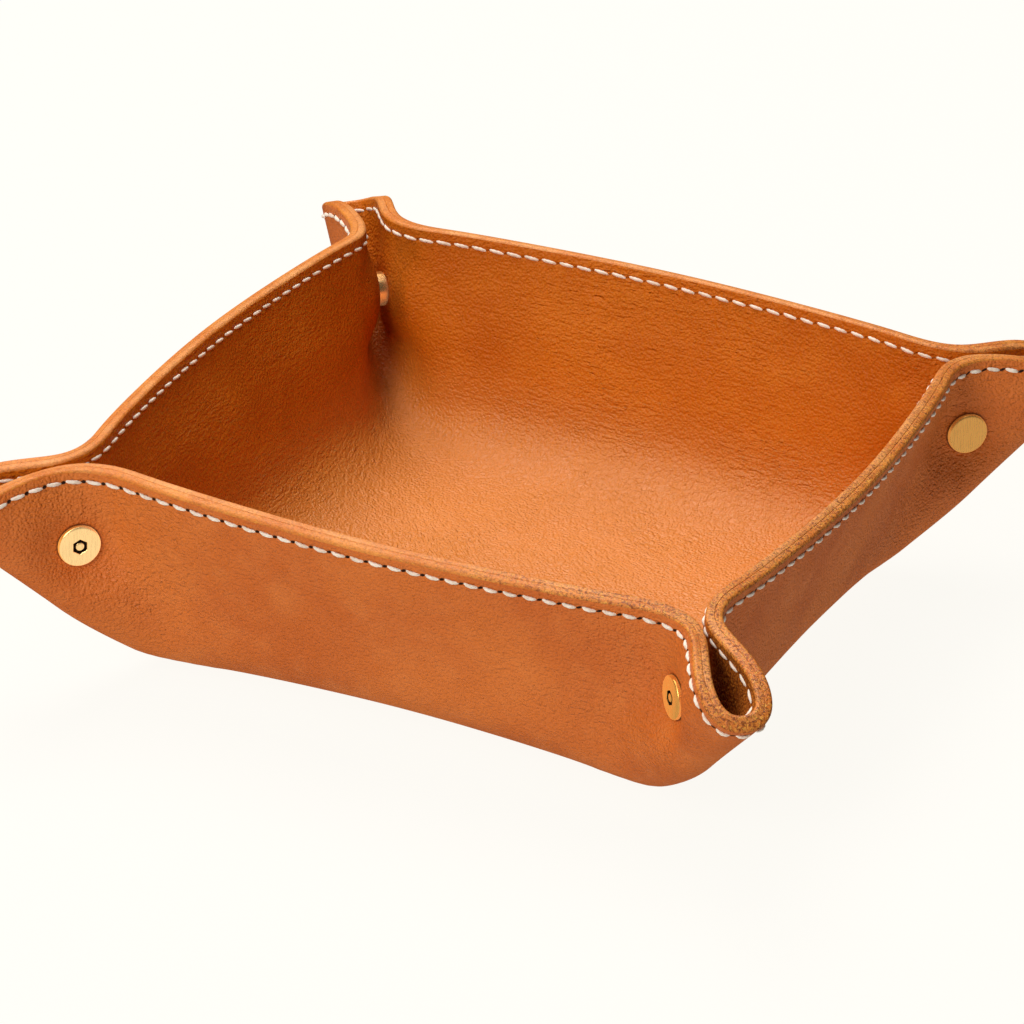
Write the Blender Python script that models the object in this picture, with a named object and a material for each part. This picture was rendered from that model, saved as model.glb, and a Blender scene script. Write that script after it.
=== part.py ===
"""Leather valet tray: one double-skinned sheet pinched at its four corners by brass post screws.

Metres, +Z up, the tray standing on z = 0 with its middle on the Z axis. +X runs along the front wall
and -Y is the front. The tray is the same in all four quarters, apart from which wall holds the screw
heads: screws enter through the front and back walls, barrels through the left and right walls.
"""

import bpy
import bmesh
import numpy as np
from math import atan2, cos, pi, radians, sin, sqrt
from mathutils import Matrix, Vector

# Leather
PANEL = 0.0019
PANEL_GAP = 0.0003
SKIN = PANEL + PANEL_GAP / 2
EDGE_BEVEL = 0.0005

# Rim, measured on the middle of the double skin
THROAT = 0.081
RIM_HEIGHT = 0.0572
RIM_BOW = 0.0062
WALL_FAR = 0.0190
WALL_NEAR = 0.0118

# Ear that stands out of each corner: offsets from the throat, half widths and drops below the rim
EAR_NECK = 0.0025
EAR_BELLY = 0.0215
EAR_TIP = 0.0343
NECK_HALF_RIM = 0.0003
NECK_HALF_PINCH = 0.0034
BELLY_HALF = 0.0069
TIP_HALF = 0.0066
NECK_DROP = 0.0007
BELLY_DROP = 0.0019
TIP_DROP = 0.0103

# Floor: the ring at its edge, which the walls rise from in one wide bend, and its flat middle
FLOOR_HALF = 0.0720
FLOOR_BOW = -0.0028
FLOOR_CORNER = 0.0343
FLOOR_TURNS = (20.0, 9.0, 3.0)
FLAT_SHARE = 0.52

# Two rows between floor and rim: how far up each column they lie and how far they bulge out
LOW_SHARES = (0.62, 0.62, 0.59, 0.52, 0.38, 0.31, 0.31)
LOW_RIDGE = 0.0046
LOW_WALL = -0.0011
LOW_HALVES = (0.0098, 0.0070, 0.0029)
PINCH_SHARES = (0.80, 0.80, 0.77, 0.72, 0.58, 0.55, 0.55)
PINCH_RIDGE = 0.0025

# Control columns: the neck's and the first of the ear's, counted from the middle of a wall
NECK_COLUMN = 4
EAR_COLUMN = 5

# Mesh
STEPS_PER_HALF = 13
ROWS = (0.0, 0.4, 0.8, 1.2, 1.6, 1.95, 2.25, 2.5, 2.75)
TOP_ROW = 3.0
ROUND_STEPS = 24
SHARP_ANGLE = radians(40.0)

# Seams
SEAM_INSET = 0.0035
THREAD_HALF_WIDTH = 0.00045
THREAD_HALF_HEIGHT = 0.00020
THREAD_LIFT = 0.00005
THREAD_SIDES = 6

# Post screws, each on an axis square to its corner's diagonal
PIN_HEIGHT = 0.0389
PIN_OFFSET = 0.0002
CLAMP_HALF = 0.0034
CLAMP_NEAR = 0.0048
CLAMP_FAR = 0.0150
HEAD_RADIUS = 0.0052
HEAD_HEIGHT = 0.0013
HEAD_ROUND = 0.0004
HEAD_SEAT = 0.0054
SEAT_GAP = 0.0001
POCKET_RADIUS = 0.00545
SHANK_RADIUS = 0.0018
BORE_RADIUS = 0.0020
BARREL_RADIUS = 0.0027
HOLE_RADIUS = 0.0029
BARREL_END = 0.0048
SHANK_END = -0.0001
BORE_END = -0.0048
HEX_HALF_FLATS = 0.0017
HEX_DEPTH = 0.0008
HEX_PIN_RADIUS = 0.0010
COLLAR_RADIUS = 0.0045
COLLAR_SEAT = 0.0015
COLLAR_POCKET_RADIUS = 0.00475
CUT_REACH = 0.012

# Corners: name, direction of the diagonal and the side of it the screw enters from
CORNERS = (
    ("front_right", -45.0, 1),
    ("back_right", 45.0, -1),
    ("back_left", 135.0, 1),
    ("front_left", 225.0, -1),
)

# How far each ear has relaxed from the pattern at the rim: extra length and sideways lean of the ear,
# then opening and sideways shift of its neck
EAR_RELAXED = {
    "front_right": (0.0, 0.0018, 0.0, 0.0),
    "back_right": (0.0, 0.0, 0.0, 0.0),
    "back_left": (-0.0012, 0.0014, 0.0034, -0.0014),
    "front_left": (0.0, 0.0, 0.0, 0.0),
}


def clear_scene():
    for obj in list(bpy.data.objects):
        bpy.data.objects.remove(obj, do_unlink=True)


def on_wall(half, along):
    """A point on a wall at distance half from the middle, as (along, across) the corner's diagonal."""
    return (along + half) / sqrt(2), (half - along) / sqrt(2)


def rim_row():
    """Control points of one corner's half of the rim, from the middle of the wall to the ear's tip."""
    along = (0.0, (THROAT - WALL_FAR) / 2, THROAT - WALL_FAR, THROAT - WALL_NEAR)
    bows = (1.1 * RIM_BOW, 0.85 * RIM_BOW, 0.35 * RIM_BOW, 0.0)
    row = [(*on_wall(THROAT + bow, x), RIM_HEIGHT) for x, bow in zip(along, bows)]
    throat = THROAT * sqrt(2)
    row.append((throat + EAR_NECK, NECK_HALF_RIM, RIM_HEIGHT - NECK_DROP))
    row.append((throat + EAR_BELLY, BELLY_HALF, RIM_HEIGHT - BELLY_DROP))
    row.append((throat + EAR_TIP, TIP_HALF, RIM_HEIGHT - TIP_DROP))
    return np.array(row)


def floor_row():
    """The same for the floor's edge, a rounded square."""
    straight = FLOOR_HALF - FLOOR_CORNER
    along = (0.0, 0.45 * straight, 0.9 * straight, straight + 0.35 * FLOOR_CORNER)
    bows = (1.1 * FLOOR_BOW, 0.8 * FLOOR_BOW, 0.3 * FLOOR_BOW, 0.0)
    row = [(*on_wall(FLOOR_HALF + bow, x), 0.0) for x, bow in zip(along, bows)]
    radius = 1.03 * FLOOR_CORNER
    centre = straight * sqrt(2)
    for turn in FLOOR_TURNS:
        angle = radians(turn)
        row.append((centre + radius * cos(angle), radius * sin(angle), 0.0))
    return np.array(row)


def between(low, high, shares, ridge):
    """A row part of the way from the floor to the rim, bulged out at the ear's ridge."""
    row = low + (high - low) * np.array(shares)[:, None]
    row[EAR_COLUMN:, 0] += ridge
    return row


def half_corner():
    """The five control rows: flat middle, floor edge, low wall, pinch and rim."""
    floor = floor_row()
    rim = rim_row()
    low = between(floor, rim, LOW_SHARES, LOW_RIDGE)
    low[:NECK_COLUMN, :2] += LOW_WALL / sqrt(2)
    low[NECK_COLUMN:, 1] = LOW_HALVES
    pinch = between(floor, rim, PINCH_SHARES, PINCH_RIDGE)
    pinch[NECK_COLUMN, 1] = NECK_HALF_PINCH
    return np.array([floor * FLAT_SHARE, floor, low, pinch, rim])


def diagonal(angle):
    """Unit vectors along a corner's diagonal and across it."""
    turn = radians(angle)
    return np.array((cos(turn), sin(turn))), np.array((sin(turn), -cos(turn)))


def control_net():
    """All control points, as rows from floor to rim by columns around the tray."""
    half = half_corner()
    count = half.shape[1]
    share = np.array((0.0, 0.0, LOW_SHARES[-1], PINCH_SHARES[-1], 1.0))
    columns = []
    for name, angle, _ in CORNERS:
        out, across = diagonal(angle)
        longer, lean, opened, shift = EAR_RELAXED[name]
        order = [(j, 1) for j in range(count)] + [(j, -1) for j in range(count - 1, 0, -1)]
        for j, side in order:
            flat = half[:, j, :1] * out + side * half[:, j, 1:2] * across
            if j >= EAR_COLUMN:
                flat = flat + share[:, None] * (longer * out + lean * across)
            if j == NECK_COLUMN:
                flat = flat + share[:, None] * (side * opened + shift) * across
            columns.append(np.hstack((flat, half[:, j, 2:])))
    return np.array(columns).transpose(1, 0, 2)


def cubic_weights(t):
    """Weights of the four control points around t, for a closed uniform cubic spline."""
    return (
        (1 - t) ** 3 / 6,
        (3 * t**3 - 6 * t**2 + 4) / 6,
        (-3 * t**3 + 3 * t**2 + 3 * t + 1) / 6,
        t**3 / 6,
    )


def around(net, places):
    """The control rows turned into smooth rings, read at each place."""
    first = np.floor(places).astype(int)
    weights = cubic_weights(places - first)
    rings = 0
    for k, weight in enumerate(weights):
        rings = rings + weight[None, :, None] * net[:, (first + k - 1) % net.shape[1]]
    return rings


def upward_weights(height, count):
    """Weights of a clamped quadratic spline through count rows at a height from 0 to count - 2."""
    top = count - 2
    height = min(height, top - 1e-9)
    knots = [0.0, 0.0] + [float(k) for k in range(top + 1)] + [float(top)] * 2
    weights = [1.0 if knots[k] <= height < knots[k + 1] else 0.0 for k in range(len(knots) - 1)]
    for degree in (1, 2):
        raised = []
        for k in range(len(weights) - 1):
            rise = knots[k + degree] - knots[k]
            fall = knots[k + degree + 1] - knots[k + 1]
            value = (height - knots[k]) / rise * weights[k] if rise else 0.0
            value += (knots[k + degree + 1] - height) / fall * weights[k + 1] if fall else 0.0
            raised.append(value)
        weights = raised
    return np.array(weights[:count])


def clamp(points):
    """Draws both walls of each neck in to the post screw that holds them together."""
    points = points.copy()
    for _, angle, _ in CORNERS:
        out, across = diagonal(angle)
        along = points[:, :2] @ out - THROAT * sqrt(2) - PIN_OFFSET
        apart = points[:, :2] @ across
        radius = np.hypot(along, points[:, 2] - PIN_HEIGHT)
        far = np.clip((radius - CLAMP_NEAR) / (CLAMP_FAR - CLAMP_NEAR), 0.0, 1.0)
        share = 1 - far * far * (3 - 2 * far)
        move = np.clip(apart, -CLAMP_HALF, CLAMP_HALF) - apart
        points[:, :2] += (share * move)[:, None] * across
    return points


def skin_points(net, places, heights):
    """Points of the middle skin, one for each place and its height."""
    rings = around(net, places)
    weights = np.array([upward_weights(h, len(net)) for h in heights])
    return clamp(np.einsum("ij,jik->ik", weights, rings))


def skin_frame(net, places, heights):
    """Points, outward normals and rises (change of position per unit of height) of the skin."""
    step = 1e-3
    heights = np.clip(np.asarray(heights, dtype=float), step, TOP_ROW - step)
    points = skin_points(net, places, heights)
    run = skin_points(net, places + step, heights) - skin_points(net, places - step, heights)
    rise = skin_points(net, places, heights + step) - skin_points(net, places, heights - step)
    normals = np.cross(run, rise)
    normals /= np.linalg.norm(normals, axis=1, keepdims=True)
    return points, normals, rise / (2 * step)


def stations(net):
    """Places around the tray, closer together where the rim turns."""
    columns = net.shape[1] // 4
    fine = np.linspace(0.0, columns / 2, 400)
    rim = around(net, fine)[-1]
    steps = np.diff(rim, axis=0)
    headings = np.unwrap(np.arctan2(steps[:, 1], steps[:, 0]))
    turning = np.abs(np.gradient(headings))
    spacing = np.linalg.norm(steps, axis=1) / 0.012 + turning / radians(24.0)
    travelled = np.concatenate(((0.0,), np.cumsum(spacing)))
    marks = np.linspace(0.0, travelled[-1], STEPS_PER_HALF + 1)
    half = np.interp(marks, travelled, fine)
    corner = np.concatenate((half, columns - half[-2:0:-1]))
    return np.concatenate([corner + columns * k for k in range(4)])


def ring_at(net, places, height, offset):
    """A ring on the face at an offset from the middle skin; height is one number or one per place."""
    points, normals, _ = skin_frame(net, places, np.zeros(len(places)) + height)
    return points + normals * offset


def rim_inset(net, places, inset):
    """Heights that lie a distance inset below the rim, one for each place."""
    top = np.full(len(places), TOP_ROW)
    _, _, rises = skin_frame(net, places, top)
    return TOP_ROW - inset / np.linalg.norm(rises, axis=1)


def panel_face(net, places, offset, bevel):
    """Rings of one face of a panel from the floor up, with the bevel that rounds its top edge."""
    heights = list(ROWS) + [rim_inset(net, places, SEAM_INSET)]
    rings = [ring_at(net, places, height, offset) for height in heights]
    if bevel:
        rings.append(ring_at(net, places, rim_inset(net, places, bevel), offset))
    inward = offset - np.sign(offset) * bevel
    return rings + [ring_at(net, places, TOP_ROW, inward)]


def new_object(name, bm, colour, metallic, roughness):
    bmesh.ops.recalc_face_normals(bm, faces=bm.faces)
    mesh = bpy.data.meshes.new(name)
    bm.to_mesh(mesh)
    bm.free()
    mesh.shade_smooth()
    mesh.set_sharp_from_angle(angle=SHARP_ANGLE)
    obj = bpy.data.objects.new(name, mesh)
    bpy.context.scene.collection.objects.link(obj)
    material = bpy.data.materials.new(name)
    material.use_nodes = True
    shader = material.node_tree.nodes["Principled BSDF"]
    shader.inputs["Base Color"].default_value = (*colour, 1.0)
    shader.inputs["Metallic"].default_value = metallic
    shader.inputs["Roughness"].default_value = roughness
    mesh.materials.append(material)
    return obj


def add_rings(bm, rings):
    return [[bm.verts.new(point) for point in ring] for ring in rings]


def bridge(bm, lower, upper):
    """Joins two rings, always split along the same diagonal so that facing skins stay parallel."""
    for j in range(len(lower)):
        k = (j + 1) % len(lower)
        bm.faces.new((lower[j], lower[k], upper[k]))
        bm.faces.new((lower[j], upper[k], upper[j]))


def make_panel(name, net, places, offsets, bevel_first, colour):
    """One leather skin between two offsets; the exposed face is the first of them."""
    rings = panel_face(net, places, offsets[0], bevel_first)
    rings += panel_face(net, places, offsets[1], 0.0)[::-1]
    bm = bmesh.new()
    verts = add_rings(bm, rings)
    for lower, upper in zip(verts, verts[1:]):
        bridge(bm, lower, upper)
    bm.faces.new(verts[0])
    bm.faces.new(verts[-1])
    return new_object(name, bm, colour, 0.0, 0.5)


def make_thread(name, net, places, side):
    """A seam thread, laid as one closed cord just off the leather's face."""
    heights = rim_inset(net, places, SEAM_INSET)
    points, normals, rises = skin_frame(net, places, heights)
    upward = rises / np.linalg.norm(rises, axis=1, keepdims=True)
    centre = points + normals * side * (SKIN + THREAD_LIFT + THREAD_HALF_HEIGHT)
    rings = []
    for k in range(THREAD_SIDES):
        angle = 2 * pi * (k + 0.5) / THREAD_SIDES
        shift = upward * THREAD_HALF_WIDTH * cos(angle)
        rings.append(centre + shift + normals * side * THREAD_HALF_HEIGHT * sin(angle))
    bm = bmesh.new()
    verts = add_rings(bm, rings)
    for k, ring in enumerate(verts):
        bridge(bm, ring, verts[(k + 1) % THREAD_SIDES])
    return new_object(name, bm, (0.90, 0.86, 0.78), 0.0, 0.8)


def lathe(bm, profile, matrix=Matrix()):
    """A body turned about local Z from (radius, z) pairs that start and end on the axis."""
    rings = []
    for radius, z in profile[1:-1]:
        turn = [2 * pi * k / ROUND_STEPS for k in range(ROUND_STEPS)]
        rings.append([matrix @ Vector((radius * cos(a), radius * sin(a), z)) for a in turn])
    verts = add_rings(bm, rings)
    for lower, upper in zip(verts, verts[1:]):
        bridge(bm, lower, upper)
    for ring, (_, z) in ((verts[0], profile[0]), (verts[-1], profile[-1])):
        tip = bm.verts.new(matrix @ Vector((0.0, 0.0, z)))
        for j in range(ROUND_STEPS):
            bm.faces.new((ring[j], ring[(j + 1) % ROUND_STEPS], tip))


def lathe_tube(bm, profile):
    """A turned body with a hole through it, from a closed loop of (radius, z) pairs."""
    turn = [2 * pi * k / ROUND_STEPS for k in range(ROUND_STEPS)]
    rings = [[Vector((r * cos(a), r * sin(a), z)) for a in turn] for r, z in profile]
    verts = add_rings(bm, rings)
    for k, ring in enumerate(verts):
        bridge(bm, ring, verts[(k + 1) % len(verts)])


def pin_matrix(angle, side):
    """Places a post screw: local Z runs across the diagonal and out through the screw's head."""
    out, across = diagonal(angle)
    reach = THROAT * sqrt(2) + PIN_OFFSET
    axis = Vector((side * across[0], side * across[1], 0.0))
    spot = Vector((reach * out[0], reach * out[1], PIN_HEIGHT))
    return Matrix.Translation(spot) @ axis.to_track_quat("Z", "Y").to_matrix().to_4x4()


def make_cutter(name, profile):
    """The holes of all four corners as one hidden body."""
    bm = bmesh.new()
    for _, angle, side in CORNERS:
        lathe(bm, profile, pin_matrix(angle, side))
    cutter = new_object(name, bm, (0.5, 0.5, 0.5), 0.0, 0.5)
    cutter.hide_render = True
    cutter.display_type = "WIRE"
    return cutter


def cut(obj, cutter):
    boolean = obj.modifiers.new("holes", "BOOLEAN")
    boolean.operation = "DIFFERENCE"
    boolean.solver = "EXACT"
    boolean.object = cutter


def head_cutter_profile():
    """Barrel hole with a flat-bottomed pocket under each head."""
    seat = HEAD_SEAT - SEAT_GAP
    return (
        (0.0, -CUT_REACH),
        (POCKET_RADIUS, -CUT_REACH),
        (POCKET_RADIUS, -seat),
        (HOLE_RADIUS, -seat),
        (HOLE_RADIUS, seat),
        (POCKET_RADIUS, seat),
        (POCKET_RADIUS, CUT_REACH),
        (0.0, CUT_REACH),
    )


def collar_cutter_profile():
    """Barrel hole with a flat seat for each end of the collar."""
    seat = COLLAR_SEAT + SEAT_GAP
    return (
        (0.0, -CUT_REACH),
        (HOLE_RADIUS, -CUT_REACH),
        (HOLE_RADIUS, -seat),
        (COLLAR_POCKET_RADIUS, -seat),
        (COLLAR_POCKET_RADIUS, seat),
        (HOLE_RADIUS, seat),
        (HOLE_RADIUS, CUT_REACH),
        (0.0, CUT_REACH),
    )


def add_hex_cut(screw, angle, side):
    """A hexagonal socket with a pin left standing in its middle."""
    bm = bmesh.new()
    top = HEAD_SEAT + HEAD_HEIGHT
    turn = [2 * pi * k / ROUND_STEPS for k in range(ROUND_STEPS)]
    flats = [HEX_HALF_FLATS / cos(atan2(sin(6 * a), cos(6 * a)) / 6) for a in turn]
    loop = ((0, top - HEX_DEPTH), (0, top + HEX_DEPTH), (1, top + HEX_DEPTH), (1, top - HEX_DEPTH))
    rings = []
    for inner, z in loop:
        radii = [HEX_PIN_RADIUS] * ROUND_STEPS if inner else flats
        rings.append([Vector((r * cos(a), r * sin(a), z)) for r, a in zip(radii, turn)])
    verts = add_rings(bm, rings)
    for k, ring in enumerate(verts):
        bridge(bm, ring, verts[(k + 1) % len(verts)])
    cutter = new_object(screw.name + "_socket", bm, (0.5, 0.5, 0.5), 0.0, 0.5)
    cutter.matrix_world = pin_matrix(angle, side)
    cutter.hide_render = True
    cutter.display_type = "WIRE"
    cut(screw, cutter)


def screw_profile():
    top = HEAD_SEAT + HEAD_HEIGHT
    return (
        (0.0, SHANK_END),
        (SHANK_RADIUS, SHANK_END),
        (SHANK_RADIUS, HEAD_SEAT),
        (HEAD_RADIUS, HEAD_SEAT),
        (HEAD_RADIUS, top - HEAD_ROUND),
        (HEAD_RADIUS - HEAD_ROUND * (1 - sqrt(0.5)), top - HEAD_ROUND * (1 - sqrt(0.5))),
        (HEAD_RADIUS - HEAD_ROUND, top),
        (2.2 * HEX_HALF_FLATS, top),
        (0.0, top),
    )


def barrel_profile():
    top = HEAD_SEAT + HEAD_HEIGHT
    return (
        (0.0, -top),
        (HEAD_RADIUS - HEAD_ROUND, -top),
        (HEAD_RADIUS - HEAD_ROUND * (1 - sqrt(0.5)), -top + HEAD_ROUND * (1 - sqrt(0.5))),
        (HEAD_RADIUS, -top + HEAD_ROUND),
        (HEAD_RADIUS, -HEAD_SEAT),
        (BARREL_RADIUS, -HEAD_SEAT),
        (BARREL_RADIUS, BARREL_END),
        (BORE_RADIUS, BARREL_END),
        (BORE_RADIUS, BORE_END),
        (0.0, BORE_END),
    )


def collar_profile():
    half = COLLAR_SEAT
    return ((HOLE_RADIUS, -half), (COLLAR_RADIUS, -half), (COLLAR_RADIUS, half), (HOLE_RADIUS, half))


def make_pin(corner, angle, side):
    """The screw, the barrel it threads into and the collar that holds the two walls apart."""
    brass = ((0.80, 0.58, 0.26), 1.0, 0.3)
    bm = bmesh.new()
    lathe(bm, screw_profile())
    screw = new_object(corner + "_screw", bm, *brass)
    screw.matrix_world = pin_matrix(angle, side)
    add_hex_cut(screw, angle, side)
    bm = bmesh.new()
    lathe(bm, barrel_profile())
    barrel = new_object(corner + "_barrel", bm, *brass)
    barrel.matrix_world = pin_matrix(angle, side)
    bm = bmesh.new()
    lathe_tube(bm, collar_profile())
    collar = new_object(corner + "_collar", bm, *brass)
    collar.matrix_world = pin_matrix(angle, side)


def main():
    clear_scene()
    net = control_net()
    net[:, :, 2] += SKIN
    places = stations(net)
    outer = make_panel(
        "outer_leather", net, places, (SKIN, PANEL_GAP / 2), EDGE_BEVEL, (0.56, 0.25, 0.09)
    )
    cut(outer, make_cutter("outer_leather_holes", head_cutter_profile()))
    lining = make_panel(
        "lining_leather", net, places, (-SKIN, -PANEL_GAP / 2), EDGE_BEVEL, (0.62, 0.28, 0.08)
    )
    cut(lining, make_cutter("lining_leather_holes", collar_cutter_profile()))
    make_thread("needle_thread", net, places, 1)
    make_thread("bobbin_thread", net, places, -1)
    for corner, angle, side in CORNERS:
        make_pin(corner, angle, side)


main()
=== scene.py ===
"""Looks of the leather valet tray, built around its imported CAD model.

The fine leather panels follow the same pattern as the CAD panels they stand for: closed rings of
control points from the floor to the rim, smoothed around and upwards. Metres, +Z up, -Y the front.
"""

import math

import bpy
import numpy as np
from mathutils import Matrix, Vector

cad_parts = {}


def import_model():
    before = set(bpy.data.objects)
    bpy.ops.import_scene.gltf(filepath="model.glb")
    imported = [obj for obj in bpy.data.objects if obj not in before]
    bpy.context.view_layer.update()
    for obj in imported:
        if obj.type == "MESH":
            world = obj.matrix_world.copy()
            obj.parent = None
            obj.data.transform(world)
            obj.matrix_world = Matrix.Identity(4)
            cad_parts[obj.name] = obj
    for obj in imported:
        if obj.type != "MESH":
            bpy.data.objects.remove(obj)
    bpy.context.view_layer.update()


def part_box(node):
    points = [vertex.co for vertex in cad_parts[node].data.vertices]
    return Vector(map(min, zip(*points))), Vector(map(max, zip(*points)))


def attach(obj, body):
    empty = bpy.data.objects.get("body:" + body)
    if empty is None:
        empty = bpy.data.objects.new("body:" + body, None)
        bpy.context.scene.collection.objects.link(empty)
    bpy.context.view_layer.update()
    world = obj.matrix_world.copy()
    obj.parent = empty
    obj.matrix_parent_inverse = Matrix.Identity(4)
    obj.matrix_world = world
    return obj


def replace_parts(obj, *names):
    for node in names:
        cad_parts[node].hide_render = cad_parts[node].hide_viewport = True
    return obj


# Leather pattern, as in the CAD
PANEL = 0.0019
PANEL_GAP = 0.0003
SKIN = PANEL + PANEL_GAP / 2
THROAT = 0.081
RIM_HEIGHT = 0.0572
RIM_BOW = 0.0062
WALL_FAR = 0.0190
WALL_NEAR = 0.0118
EAR_NECK = 0.0025
EAR_BELLY = 0.0215
EAR_TIP = 0.0343
NECK_HALF_RIM = 0.0003
NECK_HALF_PINCH = 0.0034
BELLY_HALF = 0.0069
TIP_HALF = 0.0066
NECK_DROP = 0.0007
BELLY_DROP = 0.0019
TIP_DROP = 0.0103
FLOOR_HALF = 0.0720
FLOOR_BOW = -0.0028
FLOOR_CORNER = 0.0343
FLOOR_TURNS = (20.0, 9.0, 3.0)
FLAT_SHARE = 0.52
LOW_SHARES = (0.62, 0.62, 0.59, 0.52, 0.38, 0.31, 0.31)
LOW_RIDGE = 0.0046
LOW_WALL = -0.0011
LOW_HALVES = (0.0098, 0.0070, 0.0029)
PINCH_SHARES = (0.80, 0.80, 0.77, 0.72, 0.58, 0.55, 0.55)
PINCH_RIDGE = 0.0025
NECK_COLUMN = 4
EAR_COLUMN = 5
TOP_ROW = 3.0
CORNERS = (
    ("front_right", -45.0, 1),
    ("back_right", 45.0, -1),
    ("back_left", 135.0, 1),
    ("front_left", 225.0, -1),
)
EAR_RELAXED = {
    "front_right": (0.0, 0.0018, 0.0, 0.0),
    "back_right": (0.0, 0.0, 0.0, 0.0),
    "back_left": (-0.0012, 0.0014, 0.0034, -0.0014),
    "front_left": (0.0, 0.0, 0.0, 0.0),
}
CLAMP_HALF = 0.0034
CLAMP_NEAR = 0.0048
CLAMP_FAR = 0.0150

# Post screws, as in the CAD
HEAD_RADIUS = 0.0052
HEAD_HEIGHT = 0.0013
HEAD_SEAT = 0.0054
SHANK_RADIUS = 0.0018
BORE_RADIUS = 0.0020
BARREL_RADIUS = 0.0027
HOLE_RADIUS = 0.0029
BARREL_END = 0.0048
SHANK_END = -0.0001
BORE_END = -0.0048
HEX_HALF_FLATS = 0.0017
HEX_DEPTH = 0.0008
HEX_PIN_RADIUS = 0.0010
COLLAR_RADIUS = 0.0045
COLLAR_SEAT = 0.0015

# Fineness of the leather; the floor's rings carry FLOOR_DEPTH as their depth below the rim
STEPS_PER_HALF = 84
BODY_ROWS = 44
BODY_SPACING = 0.85
BODY_INSET = 0.0060
BURIED_ROWS = 10
FLOOR_RINGS = 14
SEAM_CURVE_STEPS = 6000
FLOOR_DEPTH = 0.09

# Cut edge, ring by ring: depth below the rim and distance in from the exposed face
TOUCH = 0.00001
EDGE_TOP = 0.0056
EDGE_BOTTOM = 0.0013
EDGE_STEP = 0.0004
EDGE = (
    (0.00110, 0.00000), (0.00080, 0.00004), (0.00055, 0.00013), (0.00034, 0.00028),
    (0.00017, 0.00048), (0.00006, 0.00074), (0.00000, 0.00105), (0.00000, 0.00150),
    (0.00001, 0.00182), (0.00004, 0.00194), (0.00010, 0.00201), (0.00018, SKIN - TOUCH),
    (0.00110, SKIN - TOUCH),
)
EDGE_BURIED = 0.0018

# Leather pressed in under the heads and held off by the collars
PRESS_SOFTNESS = 0.00012
PRESS_RADIUS = 0.012
PRESS_HALF = 0.011
HEAD_SINK = 0.00015
HEAD_MARGIN = 0.0002
HEAD_RISE = 0.0060
HEAD_REACH = 0.0125
COLLAR_CLEAR = 0.00012
COLLAR_MARGIN = 0.0001
COLLAR_FALL = 0.0040
COLLAR_REACH = 0.0100

# Seam; the pairs are for the outer face (1) and the lining (-1)
SEAM_INSET = 0.0035
STITCH_PITCH = 0.0048
THREAD_RADIUS = {1: 0.00046, -1: 0.00042}
THREAD_SINK = {1: 0.0, -1: 0.00012}
STITCH_SPREAD = {1: 0.75, -1: 0.85}
STITCH_SLANT = 0.00030
STITCH_STEPS = 12
STITCH_SEEDS = {1: 7, -1: 11}
THREAD_SIDES = 12
THREAD_END = 0.42
THREAD_DIP = -0.00036
THREAD_LIFT = 0.00060
THREAD_WANDER = 0.00005
THREAD_PLY = 0.10

# Brass; the rods that cut the barrel holes reach HOLE_HALF either way
ROUND_STEPS = 96
HOLE_STEPS = 48
HOLE_HALF = 0.012
SHARP_ANGLE = math.radians(38.0)
SCREW_PITCH = 0.0007
SCREW_GROOVE = 0.00018
SCREW_CHAMFER = 0.0003

# Leather grain, and the paler colour painted on the lining's floor as painted sheen
WARP_SCALE = 420.0
WARP = 0.0006
GRAIN_SCALE = 1450.0
FINE_SCALE = 1900.0
GRAIN_BUMP = 0.00025
LINING_GRAIN_BUMP = 0.00021
FINE_BUMP = 0.00010
SEAM_BUMP = 0.00040
PAINTED_SHEEN = (0.61, 0.203, 0.026, 1.0)

# Brass colours, mixed by the reflected direction as painted reflection
DEEP_GOLD = (0.84, 0.385, 0.080, 1.0)
PALE_GOLD = (0.97, 0.64, 0.27, 1.0)

# Camera and studio; each light has a name, a place, a size and a power
CAMERA_AZIMUTH = 24.34
CAMERA_ELEVATION = 26.64
CAMERA_ROLL = 2.34
CAMERA_DISTANCE = 1.4375
CAMERA_RIGHT = -0.00221
CAMERA_UP = 0.02456
LENS = 204.8
LIGHTS = (
    ("front", (-0.20, -1.30, 0.90), 0.8, 14.2),
    ("above", (0.00, 0.20, 1.50), 1.0, 4.2),
    ("above_left", (-0.60, 0.20, 1.30), 0.8, 11.0),
    ("above_front", (-0.30, -0.70, 1.40), 0.8, 3.5),
    ("behind", (0.10, 0.90, 1.40), 0.8, 1.0),
    ("behind_left", (-0.60, 0.80, 1.30), 0.7, 10.5),
)
LIGHT_COLOUR = (1.0, 0.98, 0.95)
LIGHT_TARGET = (0.0, 0.0, 0.02)
ROOM_LIGHT = 0.05
PAPER_GLOW = 0.95
PAPER_HALF = 6.0
PAPER_DROP = 0.0002


# ---------------------------------------------------------------- leather surface


def on_wall(half, along):
    """A point on one straight side of a corner, in the corner's own axes: outwards and across."""
    return (along + half) / math.sqrt(2), (half - along) / math.sqrt(2)


def rim_row():
    """Control points of the rim over half a corner: wall, pinch, ear."""
    along = (0.0, (THROAT - WALL_FAR) / 2, THROAT - WALL_FAR, THROAT - WALL_NEAR)
    bows = (1.1 * RIM_BOW, 0.85 * RIM_BOW, 0.35 * RIM_BOW, 0.0)
    row = [(*on_wall(THROAT + bow, x), RIM_HEIGHT) for x, bow in zip(along, bows)]
    throat = THROAT * math.sqrt(2)
    row.append((throat + EAR_NECK, NECK_HALF_RIM, RIM_HEIGHT - NECK_DROP))
    row.append((throat + EAR_BELLY, BELLY_HALF, RIM_HEIGHT - BELLY_DROP))
    row.append((throat + EAR_TIP, TIP_HALF, RIM_HEIGHT - TIP_DROP))
    return np.array(row)


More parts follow.
